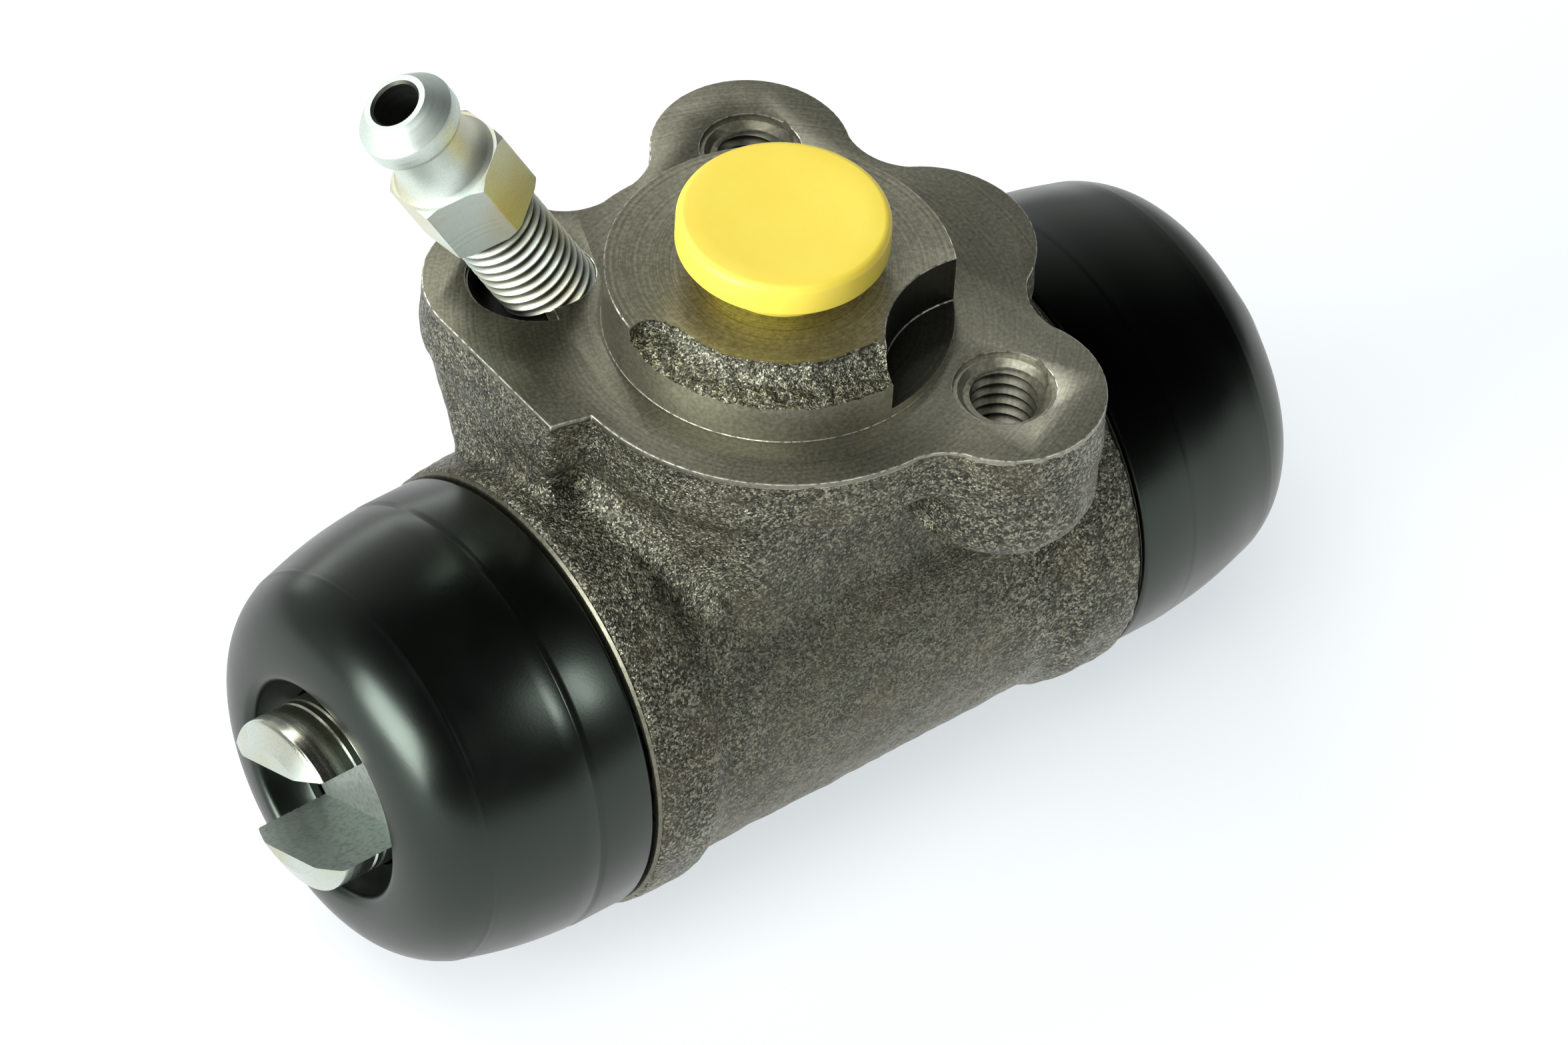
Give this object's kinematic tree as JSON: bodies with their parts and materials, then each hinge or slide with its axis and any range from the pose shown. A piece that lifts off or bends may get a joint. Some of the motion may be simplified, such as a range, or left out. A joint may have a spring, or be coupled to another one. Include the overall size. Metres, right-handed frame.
{
  "type": "drum brake wheel cylinder",
  "caption": "Cast-iron drum brake wheel cylinder with opposed slotted pistons, black dust boots, a leaning bleed screw and a yellow plug in the fluid inlet.",
  "frame": {"origin": "centre of the pilot boss, on the mounting face", "axes": "+Z out of the mounting face, +X along the cylinder bore towards the right boot, +Y towards the bleed screw's side"},
  "size_m": [0.087, 0.0448, 0.0639],
  "materials": {
    "cast_body": "as cast, machined on the mounting face and boss",
    "zinc_plated_steel": "bright zinc plate",
    "boot_rubber": "satin black",
    "cup_rubber": "smooth",
    "spring_steel": "bare wire and sheet",
    "plug_plastic": "satin moulded yellow"
  },
  "bodies": {
    "housing": {"cylinder_body": "cast_body", "boot_left": "boot_rubber", "boot_right": "boot_rubber", "return_spring": "spring_steel"},
    "left_piston": {"piston_left": "zinc_plated_steel", "cup_seal_left": "cup_rubber", "cup_expander_left": "spring_steel"},
    "right_piston": {"piston_right": "zinc_plated_steel", "cup_seal_right": "cup_rubber", "cup_expander_right": "spring_steel"},
    "bleeder": {"bleed_screw": "zinc_plated_steel"},
    "plug": {"port_plug": "plug_plastic"}
  },
  "joints": [
    {"name": "left_piston_slide", "type": "slide", "parent": "housing", "child": "left_piston", "axis": [-1, 0, 0], "range_m": [-0.003, 0.008], "deforming": ["boot_left", "return_spring"]},
    {"name": "right_piston_slide", "type": "slide", "parent": "housing", "child": "right_piston", "axis": [1, 0, 0], "range_m": [-0.003, 0.008], "deforming": ["boot_right", "return_spring"]},
    {"name": "bleed_screw_turn", "type": "hinge", "parent": "housing", "child": "bleeder", "pos_m": [-0.0115, 0.0132, 0], "axis": [-0.4698, 0.171, 0.866], "range_deg": [0, 360]},
    {"name": "port_plug_pull", "type": "slide", "parent": "housing", "child": "plug", "axis": [0, 0, 1], "range_m": [0, 0.02]}
  ]
}
